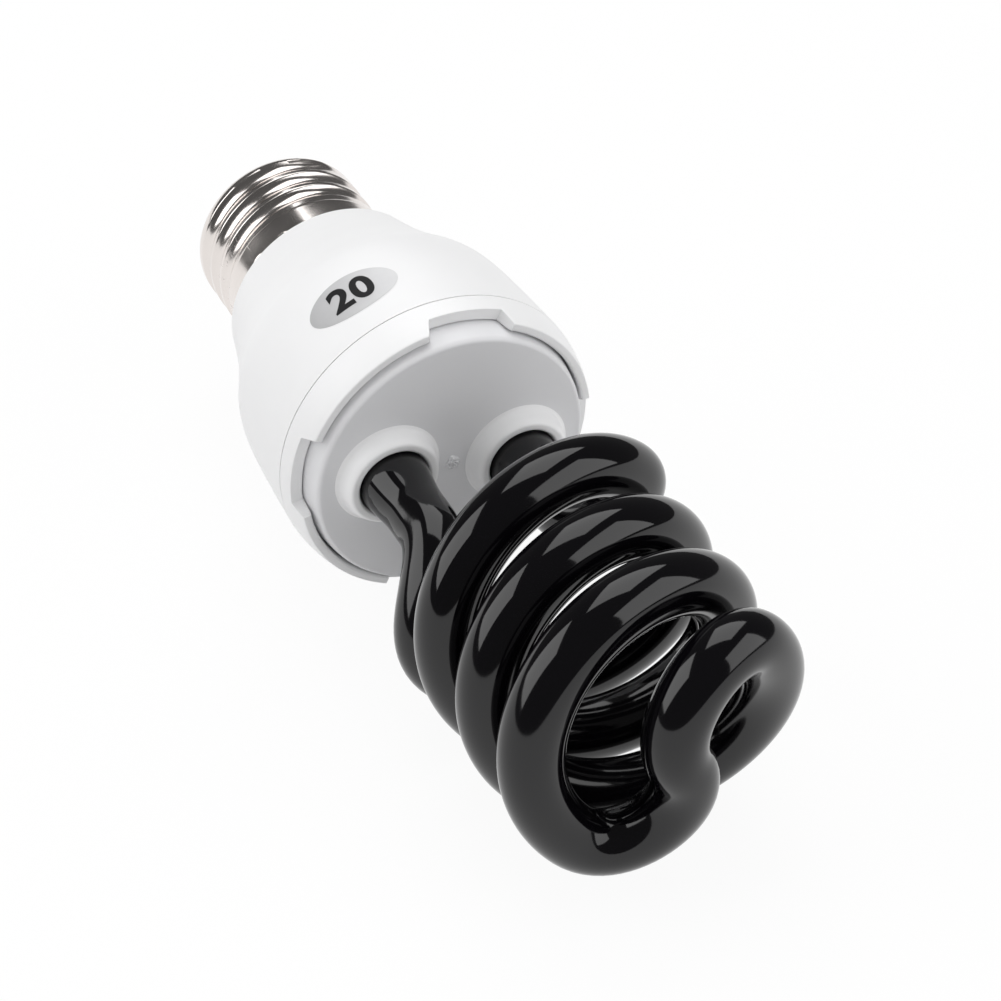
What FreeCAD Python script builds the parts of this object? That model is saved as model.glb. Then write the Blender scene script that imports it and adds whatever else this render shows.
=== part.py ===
import FreeCAD, Part
import math
import os

from FreeCAD import Placement, Rotation, Vector

# A compact spiral lamp with a screw cap, lying on its side.
# Lengths are in millimetres and angles in degrees. Each piece is built round the lamp's own
# axis, Z, with the face of the tube plate at height 0: the spiral rises from it and the
# housing and cap hang below it. The two legs of the spiral stand at +X and -X.

# Fits
FIT_GAP = 0.1
GLUE_HOLE_GAP = 0.13

# Screw cap, from the housing's neck down: a smooth skirt, the thread set a little inside it
# and a domed end
CAP_RADIUS = 13.2
CAP_WALL = 0.3
CAP_LENGTH = 20.2
CAP_SKIRT_HEIGHT = 6.0
CAP_STEP_HEIGHT = 0.5
CAP_DOME_HEIGHT = 2.7
CAP_MOUTH_RADIUS = 10.4
THREAD_SET_BACK = 0.17
THREAD_PITCH = 3.629
THREAD_TURNS = 2.5
THREAD_DEPTH = 0.8
THREAD_GROOVE_RADIUS = 1.7
THREAD_ABOVE_DOME = 0.72
THREAD_START_ANGLE = 235.0
# where the turned surface starts, away from the groove's own start
CAP_SEAM_ANGLE = 90.0

# Black glass insulator and centre contact
INSULATOR_INNER_HEIGHT = 2.2
INSULATOR_CONE_HEIGHT = 2.4
INSULATOR_TIP_RADIUS = 5.2
INSULATOR_HOLE_RADIUS = 1.2
CONTACT_RADIUS = 4.8
CONTACT_HEIGHT = 0.8
SOLDER_RADIUS = 1.9
SOLDER_HEIGHT = 0.4

# Upper housing: a straight neck, a kink and a rounded shoulder. The shoulder's points are
# shares of its height and of its width, from the kink up to the seam.
HOUSING_RADIUS = 22.7
HOUSING_HEIGHT = 34.55
HOUSING_WALL = 1.5
NECK_RADIUS = 15.4
NECK_HEIGHT = 5.15
KINK_RADIUS = 16.75
SHOULDER_SHARES = ((0.149, 0.244), (0.299, 0.546), (0.402, 0.756), (0.541, 0.866), (0.782, 0.950))
SPIGOT_LENGTH = 4.4
SPIGOT_WALL = 1.5
SEAM_CHAMFER = 0.3

# Lock ring round the tube plate
RING_HEIGHT = 5.25
RING_SET_BACK = 1.1
RING_TAPER = 0.95
RING_BELLY_SHARE = 0.3
RING_LIP_WALL = 1.2
RING_SPIGOT_LENGTH = 3.6
RING_SPIGOT_WALL = 1.5
RING_SPIGOT_PLAY = 0.3
RING_LEDGE_HEIGHT = 1.2
RING_LEDGE_WIDTH = 1.75
NOTCH_COUNT = 4
NOTCH_WIDTH = 10.2
NOTCH_DEPTH = 2.4
NOTCH_FLARE = 0.4

# Tube plate with its collars
PLATE_THICKNESS = 1.6
PLATE_EDGE_ROUND = 0.5
PLATE_SKIRT_HEIGHT = 6.5
PLATE_SKIRT_WALL = 1.3
PLATE_GAP = 0.6
TAB_WIDTH = 8.0
TAB_TOP = 0.8
TAB_HEIGHT = 4.7
COLLAR_HEIGHT = 2.6
COLLAR_BASE_RADIUS = 7.3
COLLAR_TOP_RADIUS = 6.43
COLLAR_RIM_ROUND = 0.4
COLLAR_RIM_CHAMFER = 0.35
SLEEVE_RADIUS = 7.0
SLEEVE_BORE_RADIUS = 6.2
SLEEVE_DEPTH = 7.4
SLEEVE_MARGIN = 1.85
CEMENT_SHORTFALL = 0.4
PIP_RADIUS = 0.9
PIP_HEIGHT = 0.4

# Glass spiral: two legs, a two-start coil and a bridge across the free end
TUBE_RADIUS = 4.2
LEG_RADIUS = 4.95
LEG_DEPTH = 10.0
LEG_END_ROUND = 1.2
LEG_TAPER_START = 1.5
LEG_TAPER_HEIGHT = 7.5
LEG_STRAIGHT_HEIGHT = 12.2
COIL_START_RADIUS = 17.8
COIL_RADIUS = 16.5
COIL_START_ANGLE = 52.5
COIL_SWEEP = 538.7
COIL_LEAD = 22.7
COIL_TOP = 58.44
COIL_EASE_ANGLE = 180.0
BRIDGE_HEIGHT = 63.1
BRIDGE_ANGLE = 127.2
LEG_REACH = 8.15
COIL_REACH_IN = 8.52
COIL_REACH_OUT = 9.06
BRIDGE_REACH = 8.82
LEG_STATIONS = 4
COIL_STATIONS = 15
BRIDGE_STATIONS = 4
LEAD_RADIUS = 0.25
LEAD_OFFSET = 1.8

# Circuit board and what stands on it
BOARD_FACE_DEPTH = 14.0
BOARD_THICKNESS = 1.6
BOARD_EDGE_GAP = 1.0
BOARD_LEDGE_WIDTH = 0.9
BOARD_LEDGE_HEIGHT = 1.2
CAPACITOR_RADIUS = 5.0
CAPACITOR_HEIGHT = 18.0
CAPACITOR_PLACE = (-6.0, 6.0)
CAPACITOR_GROOVE_DEPTH = 0.4
CHOKE_PLACE = (9.0, 0.0)
CHOKE_WIDTH = 14.0
CHOKE_DEPTH = 7.0
CHOKE_HEIGHT = 13.0
CHOKE_BAR = 2.4
CHOKE_LIMB = 4.6
CHOKE_WINDING_BULGE = 3.2
TOROID_PLACE = (1.0, 14.2)
TOROID_RADIUS = 4.5
TOROID_HOLE_RADIUS = 2.2
TOROID_HEIGHT = 3.2
FILM_SIZES = ((10.0, 5.0, 9.0), (7.0, 4.0, 8.0))
FILM_PLACES = ((-8.0, -9.0), (2.0, -14.0))
FILM_CORNER_ROUND = 0.8
TRANSISTOR_SIZE = (4.7, 3.7, 5.0)
TRANSISTOR_PLACES = ((-14.5, 0.5), (-14.5, -4.0))
DIODE_RADIUS = 1.35
DIODE_HEIGHT = 5.2
DIODE_PLACE = (7.3, 11.0)
DIODE_SPACING = 3.2
RESISTOR_RADIUS = 1.2
RESISTOR_HEIGHT = 6.0
RESISTOR_PLACES = ((-10.5, 13.5), (-14.2, 7.5))
FUSE_RADIUS = 1.8
FUSE_HEIGHT = 8.0
FUSE_PLACE = (11.5, -12.0)
LIVE_WIRE_RADIUS = 0.5
NEUTRAL_WIRE_RADIUS = 0.4
NEUTRAL_WIRE_OFFSET = 3.5
NEUTRAL_WIRE_BEND = 3.0
NEUTRAL_WIRE_BELOW_SPIGOT = 0.8

# How the lamp lies: the legs' plane is nearly level
LEG_TURN_FROM_UP = 80.0

# Heights and radii that follow
SEAM = -RING_SET_BACK - RING_HEIGHT
NECK = SEAM - HOUSING_HEIGHT
KINK = NECK + NECK_HEIGHT
SKIRT_END = NECK - CAP_SKIRT_HEIGHT
MOUTH = NECK - CAP_LENGTH
DOME_TOP = MOUTH + CAP_DOME_HEIGHT
THREAD_RADIUS = CAP_RADIUS - THREAD_SET_BACK
CAP_BORE_RADIUS = CAP_RADIUS - CAP_WALL
SPIGOT_RADIUS = CAP_BORE_RADIUS - FIT_GAP
SPIGOT_BORE_RADIUS = SPIGOT_RADIUS - SPIGOT_WALL
SPIGOT_END = NECK - SPIGOT_LENGTH
TIP = MOUTH - INSULATOR_CONE_HEIGHT
CONTACT_TIP = TIP - CONTACT_HEIGHT
HOUSING_BORE_RADIUS = HOUSING_RADIUS - HOUSING_WALL
RING_FRONT_RADIUS = HOUSING_RADIUS - RING_TAPER
RING_BORE_RADIUS = RING_FRONT_RADIUS - RING_LIP_WALL
RING_SPIGOT_RADIUS = HOUSING_BORE_RADIUS - RING_SPIGOT_PLAY
RING_LEDGE = -PLATE_SKIRT_HEIGHT
PLATE_RADIUS = RING_BORE_RADIUS - PLATE_GAP
PLATE_BORE_RADIUS = PLATE_RADIUS - PLATE_SKIRT_WALL
LEG_PLACE = PLATE_BORE_RADIUS - SLEEVE_MARGIN - SLEEVE_RADIUS
BOARD_FACE = -BOARD_FACE_DEPTH
BOARD_BACK = BOARD_FACE - BOARD_THICKNESS
BOARD_RADIUS = HOUSING_BORE_RADIUS - BOARD_EDGE_GAP
AXIS = Vector(0, 0, 1)


def at(radius, height):
    """A point of a turned outline."""
    return Vector(radius, 0, height)


def lines(*points):
    """Straight edges from point to point."""
    return [Part.makeLine(a, b) for a, b in zip(points, points[1:])]


def arc(start, middle, end):
    """One round edge through three points."""
    return [Part.Arc(start, middle, end).toShape()]


def curve(points):
    """One smooth edge through the points."""
    spline = Part.BSplineCurve()
    spline.interpolate(points)
    return [spline.toShape()]


def turned(edges):
    """A solid turned round the lamp's axis from a closed outline."""
    return Part.Face(Part.Wire(edges)).revolve(Vector(0, 0, 0), AXIS, 360)


def ring(outer, inner, bottom, height, place=(0, 0)):
    """A plain ring, its lower face at the height given."""
    base = Vector(place[0], place[1], bottom)
    return Part.makeCylinder(outer, height, base).cut(Part.makeCylinder(inner, height, base))


def hung(shape_height, place):
    """Where a part of this height starts, when it hangs from the back of the board."""
    return Vector(place[0], place[1], BOARD_BACK - shape_height)


def hung_cylinder(radius, height, place):
    """A round part hanging from the back of the board."""
    return Part.makeCylinder(radius, height, hung(height, place))


def hung_box(size, place):
    """A square part hanging from the back of the board."""
    corner = (place[0] - size[0] / 2, place[1] - size[1] / 2)
    return Part.makeBox(*size, hung(size[2], corner))


def polar_copies(shape, count):
    """Copies of a shape, evenly spaced round the lamp's axis."""
    return [shape.rotated(Vector(0, 0, 0), AXIS, 360 * i / count) for i in range(count)]


# The screw cap

def cap_body(inset):
    """The cap as if solid, drawn in by the inset on every side that a tool would form."""
    skirt = CAP_RADIUS - inset
    radius = THREAD_RADIUS - inset
    end = MOUTH + inset
    flat_radius = CAP_MOUTH_RADIUS - FIT_GAP
    slope = math.sqrt(0.5)
    bend = at(flat_radius + (radius - flat_radius) * slope, DOME_TOP + (end - DOME_TOP) * slope)
    outline = lines(at(0, end), at(0, NECK), at(skirt, NECK), at(skirt, SKIRT_END),
                    at(radius, SKIRT_END - CAP_STEP_HEIGHT), at(radius, DOME_TOP))
    outline += arc(at(radius, DOME_TOP), bend, at(flat_radius, end))
    outline += lines(at(flat_radius, end), at(0, end))
    return turned(outline).rotated(Vector(0, 0, 0), AXIS, CAP_SEAM_ANGLE)


def groove_section(radius, inset):
    """The groove's round bottom, square to its path and closed by a chord just outside the crests."""
    round_radius = THREAD_GROOVE_RADIUS + inset
    chord = THREAD_RADIUS - inset + FIT_GAP
    half_width = math.sqrt(round_radius**2 - (radius - chord)**2)
    across = Vector(0, -THREAD_PITCH / (2 * math.pi * radius), 1).normalize()
    low, high = at(chord, 0) - across * half_width, at(chord, 0) + across * half_width
    return Part.Wire(arc(low, at(radius - round_radius, 0), high) + lines(high, low))


def thread_groove(inset):
    """The rolled groove, thicker by the inset and longer by it at both ends."""
    radius = THREAD_RADIUS - THREAD_DEPTH + THREAD_GROOVE_RADIUS
    overrun = inset / radius
    overrun_height = THREAD_PITCH * overrun / (2 * math.pi)
    height = THREAD_PITCH * THREAD_TURNS + 2 * overrun_height
    helix = Part.makeHelix(THREAD_PITCH, height, radius)
    groove = Part.Wire(helix.Edges).makePipeShell([groove_section(radius, inset)], True, True)
    groove.rotate(Vector(0, 0, 0), AXIS, THREAD_START_ANGLE - math.degrees(overrun))
    groove.translate(Vector(0, 0, DOME_TOP + THREAD_ABOVE_DOME - overrun_height))
    return groove


def screw_shell():
    """The thin pressed shell: its skin with the groove, less the same form one wall smaller."""
    skin = cap_body(0).cut(thread_groove(0))
    hollow = cap_body(CAP_WALL).cut(thread_groove(CAP_WALL))
    mouth = Part.makeCylinder(CAP_MOUTH_RADIUS, CAP_DOME_HEIGHT, at(0, MOUTH - CAP_WALL))
    return skin.cut(hollow).cut(mouth)


def cap_insulator():
    """The glass plug in the cap's mouth, with the hole for the live wire."""
    body_radius = THREAD_RADIUS - THREAD_DEPTH - CAP_WALL - FIT_GAP
    neck_radius = CAP_MOUTH_RADIUS - FIT_GAP
    shoulder = MOUTH + CAP_DOME_HEIGHT / 2
    top = DOME_TOP + INSULATOR_INNER_HEIGHT - CAP_DOME_HEIGHT / 2
    bulge = at((neck_radius + INSULATOR_TIP_RADIUS) / 2, TIP + INSULATOR_CONE_HEIGHT * 0.4)
    outline = lines(at(INSULATOR_HOLE_RADIUS, top), at(body_radius, top), at(body_radius, shoulder))
    outline += lines(at(body_radius, shoulder), at(neck_radius, MOUTH + CAP_WALL), at(neck_radius, MOUTH))
    outline += arc(at(neck_radius, MOUTH), bulge, at(INSULATOR_TIP_RADIUS, TIP))
    hole = at(INSULATOR_HOLE_RADIUS, TIP)
    outline += lines(at(INSULATOR_TIP_RADIUS, TIP), hole, at(INSULATOR_HOLE_RADIUS, top))
    return turned(outline)


def dome_middle(radius, height):
    """How far out and down the middle point of a shallow dome's outline lies."""
    ball = (radius**2 + height**2) / (2 * height)
    half_angle = math.asin(radius / ball) / 2
    return ball * math.sin(half_angle), ball * (1 - math.cos(half_angle))


def centre_contact():
    """The metal contact at the tip of the cap: a flat land with a hole, and a domed border."""
    hole = LIVE_WIRE_RADIUS + FIT_GAP
    out, down = dome_middle(CONTACT_RADIUS - SOLDER_RADIUS, CONTACT_HEIGHT)
    outline = lines(at(CONTACT_RADIUS, TIP), at(hole, TIP), at(hole, CONTACT_TIP), at(SOLDER_RADIUS, CONTACT_TIP))
    outline += arc(at(SOLDER_RADIUS, CONTACT_TIP), at(SOLDER_RADIUS + out, CONTACT_TIP + down),
                   at(CONTACT_RADIUS, TIP))
    return turned(outline)


def contact_solder():
    """The drop of solder that closes the contact."""
    out, down = dome_middle(SOLDER_RADIUS, SOLDER_HEIGHT)
    low = CONTACT_TIP - SOLDER_HEIGHT
    drop = arc(at(0, low), at(out, low + down), at(SOLDER_RADIUS, CONTACT_TIP))
    drop += lines(at(SOLDER_RADIUS, CONTACT_TIP), at(0, CONTACT_TIP), at(0, low))
    return turned(drop)


# The housing

def shoulder_outline(inset, top):
    """The points of the rounded shoulder, from the kink up to the seam."""
    width = HOUSING_RADIUS - KINK_RADIUS
    shares = ((0, 0),) + SHOULDER_SHARES + ((1, 1),)
    return [at(KINK_RADIUS - inset + width * out, KINK + (top - KINK) * up) for up, out in shares]


def upper_housing():
    """The moulded body with its neck, the spigot inside the cap and the ledge for the board."""
    outside = shoulder_outline(0, SEAM - SEAM_CHAMFER)
    inside = shoulder_outline(HOUSING_WALL, SEAM)
    outline = lines(at(NECK_RADIUS, NECK), outside[0]) + curve(outside)
    outline += lines(outside[-1], at(HOUSING_RADIUS - SEAM_CHAMFER, SEAM), inside[-1])
    outline += curve(inside[::-1])
    outline += lines(inside[0], at(NECK_RADIUS - HOUSING_WALL, NECK + HOUSING_WALL),
                     at(SPIGOT_BORE_RADIUS, NECK + HOUSING_WALL), at(SPIGOT_BORE_RADIUS, SPIGOT_END),
                     at(SPIGOT_RADIUS, SPIGOT_END), at(SPIGOT_RADIUS, NECK), at(NECK_RADIUS, NECK))
    ledge = ring(HOUSING_BORE_RADIUS, BOARD_RADIUS - BOARD_LEDGE_WIDTH,
                 BOARD_BACK - BOARD_LEDGE_HEIGHT, BOARD_LEDGE_HEIGHT)
    return turned(outline).fuse(ledge).removeSplitter()


def notch_cutter():
    """One notch of the lock ring: slanted sides, cut from the front, at +X."""
    floor = -RING_SET_BACK - NOTCH_DEPTH
    top = PLATE_THICKNESS
    side = NOTCH_WIDTH / 2
    corners = [Vector(0, -side, floor), Vector(0, side, floor),
               Vector(0, side + NOTCH_FLARE, top), Vector(0, -side - NOTCH_FLARE, top)]
    outline = Part.makePolygon(corners + corners[:1])
    return Part.Face(outline).extrude(Vector(HOUSING_RADIUS + RING_HEIGHT, 0, 0))


def lock_ring():
    """The ring that holds the tube plate, with notches in its front and a spigot behind."""
    front = -RING_SET_BACK
    spigot_bore = RING_SPIGOT_RADIUS - RING_SPIGOT_WALL
    spigot_end = SEAM - RING_SPIGOT_LENGTH
    ledge_bore = PLATE_RADIUS - RING_LEDGE_WIDTH
    ledge_back = RING_LEDGE - RING_LEDGE_HEIGHT
    foot = at(HOUSING_RADIUS, SEAM + SEAM_CHAMFER)
    belly = at(HOUSING_RADIUS - RING_TAPER * RING_BELLY_SHARE, (SEAM + front) / 2)
    outline = arc(foot, belly, at(RING_FRONT_RADIUS, front))
    outline += lines(at(RING_FRONT_RADIUS, front), at(RING_BORE_RADIUS, front),
                     at(RING_BORE_RADIUS, RING_LEDGE), at(ledge_bore, RING_LEDGE), at(ledge_bore, ledge_back),
                     at(spigot_bore, ledge_back), at(spigot_bore, spigot_end),
                     at(RING_SPIGOT_RADIUS, spigot_end), at(RING_SPIGOT_RADIUS, SEAM),
                     at(HOUSING_RADIUS - SEAM_CHAMFER, SEAM), foot)
    return turned(outline).cut(polar_copies(notch_cutter(), NOTCH_COUNT))


def plate_disc():
    """The plate's face with its rounded edge and the skirt that stands on the ring's ledge."""
    bore = PLATE_BORE_RADIUS
    edge = PLATE_RADIUS - PLATE_EDGE_ROUND
    bend = PLATE_EDGE_ROUND * math.sqrt(0.5)
    outline = lines(at(0, 0), at(edge, 0))
    outline += arc(at(edge, 0), at(edge + bend, bend - PLATE_EDGE_ROUND), at(PLATE_RADIUS, -PLATE_EDGE_ROUND))
    outline += lines(at(PLATE_RADIUS, -PLATE_EDGE_ROUND), at(PLATE_RADIUS, RING_LEDGE), at(bore, RING_LEDGE),
                     at(bore, -PLATE_THICKNESS), at(0, -PLATE_THICKNESS), at(0, 0))
    return turned(outline)


def snap_tabs():
    """The tabs that fill the gap behind the ring's notches."""
    radius = RING_BORE_RADIUS - FIT_GAP
    bottom = -TAB_TOP - TAB_HEIGHT
    band = ring(radius, PLATE_RADIUS - PLATE_SKIRT_WALL / 2, bottom, TAB_HEIGHT)
    slot = Part.makeBox(radius, TAB_WIDTH, TAB_HEIGHT, Vector(0, -TAB_WIDTH / 2, bottom))
    return [band.common(copy) for copy in polar_copies(slot, NOTCH_COUNT)]


def collar():
    """One conical collar with a rounded rim, round the plate's axis."""
    top = COLLAR_HEIGHT
    shoulder = at(COLLAR_TOP_RADIUS, top - COLLAR_RIM_ROUND)
    bend = COLLAR_RIM_ROUND * (1 - math.sqrt(0.5))
    rim = at(COLLAR_TOP_RADIUS - COLLAR_RIM_ROUND, top)
    outline = lines(at(0, -PLATE_THICKNESS), at(COLLAR_BASE_RADIUS, -PLATE_THICKNESS),
                    at(COLLAR_BASE_RADIUS, 0), shoulder)
    outline += arc(shoulder, at(COLLAR_TOP_RADIUS - bend, top - bend), rim)
    outline += lines(rim, at(0, top), at(0, -PLATE_THICKNESS))
    return turned(outline)


def tube_plate():
    """The plate that carries the glass: face, skirt, tabs, collars and sleeves behind them."""
    hole = LEG_RADIUS + GLUE_HOLE_GAP
    sleeve_end = -PLATE_THICKNESS - SLEEVE_DEPTH
    pieces = snap_tabs() + [Part.makeCylinder(PIP_RADIUS, PIP_HEIGHT)]
    holes = []
    for side in (-LEG_PLACE, LEG_PLACE):
        pieces.append(collar().translated(Vector(side, 0, 0)))
        pieces.append(Part.makeCylinder(SLEEVE_RADIUS, SLEEVE_DEPTH, Vector(side, 0, sleeve_end)))
        holes.append(Part.makeCylinder(hole, COLLAR_HEIGHT + PLATE_THICKNESS, Vector(side, 0, -PLATE_THICKNESS)))
        holes.append(Part.makeCylinder(SLEEVE_BORE_RADIUS, SLEEVE_DEPTH, Vector(side, 0, sleeve_end)))
        chamfer_base = Vector(side, 0, COLLAR_HEIGHT - COLLAR_RIM_CHAMFER)
        holes.append(Part.makeCone(hole, hole + COLLAR_RIM_CHAMFER, COLLAR_RIM_CHAMFER, chamfer_base))
    return plate_disc().fuse(pieces).cut(holes)


def tube_cement():
    """The two rings of cement between the legs and their sleeves."""
    height = SLEEVE_DEPTH - CEMENT_SHORTFALL
    bottom = -PLATE_THICKNESS - height
    return [ring(SLEEVE_BORE_RADIUS, LEG_RADIUS, bottom, height, (side, 0)) for side in (-LEG_PLACE, LEG_PLACE)]


# The glass spiral

def coil_point(turn):
    """A point of the coil's centre line, so many degrees on from its start."""
    share = min(turn / COIL_EASE_ANGLE, 1)
    ease = share * share * (3 - 2 * share)
    radius = COIL_START_RADIUS + (COIL_RADIUS - COIL_START_RADIUS) * ease
    height = COIL_TOP + COIL_LEAD * (turn - COIL_SWEEP) / 360
    angle = math.radians(COIL_START_ANGLE + turn)
    return Vector(radius * math.cos(angle), radius * math.sin(angle), height)


def coil_heading(turn):
    """The direction of the coil's centre line there."""
    step = 0.01
    heading = coil_point(turn + step) - coil_point(turn - step)
    return heading.normalize()


def bend_station(ends, share):
    """A point and heading on the smooth bend given by its end points and their handles."""
    near, near_handle, far_handle, far = ends
    rest = 1 - share
    point = near * rest**3 + near_handle * 3 * rest**2 * share
    point += far_handle * 3 * rest * share**2 + far * share**3
    heading = (near_handle - near) * rest**2 + (far_handle - near_handle) * 2 * rest * share
    heading += (far - far_handle) * share**2
    return point, heading.normalize()


def half_route():
    """Points and headings up one leg, round the coil and in to the middle of the bridge."""
    leg_top = Vector(LEG_PLACE, 0, LEG_STRAIGHT_HEIGHT)
    start = coil_point(0)
    end = coil_point(COIL_SWEEP)
    middle = Vector(0, 0, BRIDGE_HEIGHT)
    across = Rotation(AXIS, BRIDGE_ANGLE).multVec(Vector(1, 0, 0))
    lead_in = (leg_top, leg_top + AXIS * LEG_REACH, start - coil_heading(0) * COIL_REACH_IN, start)
    lead_out = (end, end + coil_heading(COIL_SWEEP) * COIL_REACH_OUT, middle - across * BRIDGE_REACH, middle)
    route = [bend_station(lead_in, i / LEG_STATIONS) for i in range(LEG_STATIONS)]
    for i in range(COIL_STATIONS):
        turn = COIL_SWEEP * i / COIL_STATIONS
        route.append((coil_point(turn), coil_heading(turn)))
    return route + [bend_station(lead_out, i / BRIDGE_STATIONS) for i in range(BRIDGE_STATIONS + 1)]


def whole_route():
    """The half route and its half-turn copy, run backwards down to the other leg."""
    half = half_route()
    other = []
    for point, heading in reversed(half[:-1]):
        other.append((Vector(-point.x, -point.y, point.z), Vector(heading.x, heading.y, -heading.z)))
    return half + other


def tangent_arc(start, heading, end):
    """The round edge that leaves the start along the heading and meets the end."""
    chord = end - start
    to_centre = heading.cross(chord).cross(heading).normalize()
    radius = chord.dot(chord) / (2 * chord.dot(to_centre))
    centre = start + to_centre * radius
    middle = centre + ((start + end) * 0.5 - centre).normalize() * radius
    return Part.Arc(start, middle, end).toShape()


def arc_pair(near, far):
    """Two arcs that join two stations of the route without a kink."""
    (start, out), (end, into) = near, far
    gap = end - start
    both = out + into
    a = 2 * (1 - out.dot(into))
    b = 2 * gap.dot(both)
    reach = (math.sqrt(b * b + 4 * a * gap.dot(gap)) - b) / (2 * a)
    first = start + out * reach
    second = end - into * reach
    joint = (first + second) * 0.5
    return [tangent_arc(start, out, joint), tangent_arc(joint, (second - first).normalize(), end)]


def leg(side):
    """One straight leg: thick and closed at its foot, tapering to the spiral's tube."""
    top = LEG_TAPER_START + LEG_TAPER_HEIGHT
    bend = LEG_END_ROUND * (1 - math.sqrt(0.5))
    foot = at(LEG_RADIUS, LEG_END_ROUND - LEG_DEPTH)
    sole = at(LEG_RADIUS - LEG_END_ROUND, -LEG_DEPTH)
    outline = lines(at(0, top), at(0, -LEG_DEPTH), sole)
    outline += arc(sole, at(LEG_RADIUS - bend, bend - LEG_DEPTH), foot)
    outline += lines(foot, at(LEG_RADIUS, LEG_TAPER_START), at(TUBE_RADIUS, top), at(0, top))
    return turned(outline).translated(Vector(side, 0, 0))


def spiral_tube():
    """The sealed glass tube, swept along straight runs and tangent arcs from leg to leg."""
    foot = LEG_TAPER_START + LEG_TAPER_HEIGHT
    route = whole_route()
    start = Vector(LEG_PLACE, 0, foot)
    edges = lines(start, route[0][0])
    for near, far in zip(route, route[1:]):
        edges += arc_pair(near, far)
    edges += lines(route[-1][0], Vector(-LEG_PLACE, 0, foot))
    section = Part.Wire(Part.makeCircle(TUBE_RADIUS, start, AXIS))
    swept = Part.Wire(edges).makePipeShell([section], True, False)
    return swept.fuse([leg(LEG_PLACE), leg(-LEG_PLACE)])


def tube_lead_wires():
    """The four wires from the feet of the glass to the board."""
    length = BOARD_FACE_DEPTH - LEG_DEPTH
    return [Part.makeCylinder(LEAD_RADIUS, length, Vector(side * LEG_PLACE, offset, BOARD_FACE))
            for side in (-1, 1) for offset in (-LEAD_OFFSET, LEAD_OFFSET)]


# The circuit

def circuit_board():
    """The round board on its ledge."""
    return Part.makeCylinder(BOARD_RADIUS, BOARD_THICKNESS, at(0, BOARD_BACK))


def electrolytic_capacitor():
    """The can, with its rolled groove near the leads."""
    can = hung_cylinder(CAPACITOR_RADIUS, CAPACITOR_HEIGHT, CAPACITOR_PLACE)
    centre = Vector(*CAPACITOR_PLACE, BOARD_BACK - 3 * CAPACITOR_GROOVE_DEPTH - BOARD_THICKNESS)
    groove = Part.makeTorus(CAPACITOR_RADIUS, CAPACITOR_GROOVE_DEPTH, centre, AXIS)
    return can.cut(groove)


def choke_core():
    """The ferrite core: a frame with a middle limb."""
    size = (CHOKE_WIDTH, CHOKE_DEPTH, CHOKE_HEIGHT)
    core = hung_box(size, CHOKE_PLACE)
    window = (CHOKE_WIDTH - 2 * CHOKE_BAR - CHOKE_LIMB) / 2
    inner_height = CHOKE_HEIGHT - 2 * CHOKE_BAR
    for side in (-1, 1):
        centre = CHOKE_PLACE[0] + side * (CHOKE_LIMB + window) / 2
        corner = Vector(centre - window / 2, CHOKE_PLACE[1] - CHOKE_DEPTH / 2, BOARD_BACK - CHOKE_BAR - inner_height)
        core = core.cut(Part.makeBox(window, CHOKE_DEPTH, inner_height, corner))
    return core


def choke_winding():
    """The coil of fine wire round the middle limb, filling the core's windows."""
    height = CHOKE_HEIGHT - 2 * CHOKE_BAR - 2 * FIT_GAP
    width = CHOKE_WIDTH - 2 * CHOKE_BAR - 2 * FIT_GAP
    depth = CHOKE_DEPTH + 2 * CHOKE_WINDING_BULGE
    bottom = BOARD_BACK - CHOKE_BAR - FIT_GAP - height
    corner = Vector(CHOKE_PLACE[0] - width / 2, CHOKE_PLACE[1] - depth / 2, bottom)
    coil = Part.makeBox(width, depth, height, corner)
    upright = [edge for edge in coil.Edges if abs(edge.tangentAt(edge.FirstParameter).z) > 0.9]
    coil = coil.makeFillet(CHOKE_WINDING_BULGE, upright)
    limb = CHOKE_LIMB + 2 * FIT_GAP
    limb_depth = CHOKE_DEPTH + 2 * FIT_GAP
    hole = Vector(CHOKE_PLACE[0] - limb / 2, CHOKE_PLACE[1] - limb_depth / 2, bottom)
    return coil.cut(Part.makeBox(limb, limb_depth, height, hole))


def toroid():
    """The small feedback transformer's ring."""
    return ring(TOROID_RADIUS, TOROID_HOLE_RADIUS, BOARD_BACK - TOROID_HEIGHT, TOROID_HEIGHT, TOROID_PLACE)


def film_capacitors():
    """The two dipped film capacitors, with rounded edges."""
    blocks = [hung_box(size, place) for size, place in zip(FILM_SIZES, FILM_PLACES)]
    return [block.makeFillet(FILM_CORNER_ROUND, lower_edges(block)) for block in blocks]


def lower_edges(block):
    """The edges of a block that don't lie on the board."""
    return [edge for edge in block.Edges if edge.BoundBox.ZMin < BOARD_BACK - FIT_GAP]


def transistors():
    """The two transistors."""
    return [hung_box(TRANSISTOR_SIZE, place) for place in TRANSISTOR_PLACES]


def diodes():
    """The four diodes of the rectifier, standing in a square."""
    x, y = DIODE_PLACE
    return [hung_cylinder(DIODE_RADIUS, DIODE_HEIGHT, (x + column * DIODE_SPACING, y + row * DIODE_SPACING))
            for column in range(2) for row in range(2)]


def resistors():
    """The two standing resistors."""
    return [hung_cylinder(RESISTOR_RADIUS, RESISTOR_HEIGHT, place) for place in RESISTOR_PLACES]


def fuse_resistor():
    """The fuse on the live side."""
    return hung_cylinder(FUSE_RADIUS, FUSE_HEIGHT, FUSE_PLACE)


def live_wire():
    """The wire from the board straight through the cap to the centre contact."""
    return Part.makeCylinder(LIVE_WIRE_RADIUS, BOARD_BACK - CONTACT_TIP, at(0, CONTACT_TIP))


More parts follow.
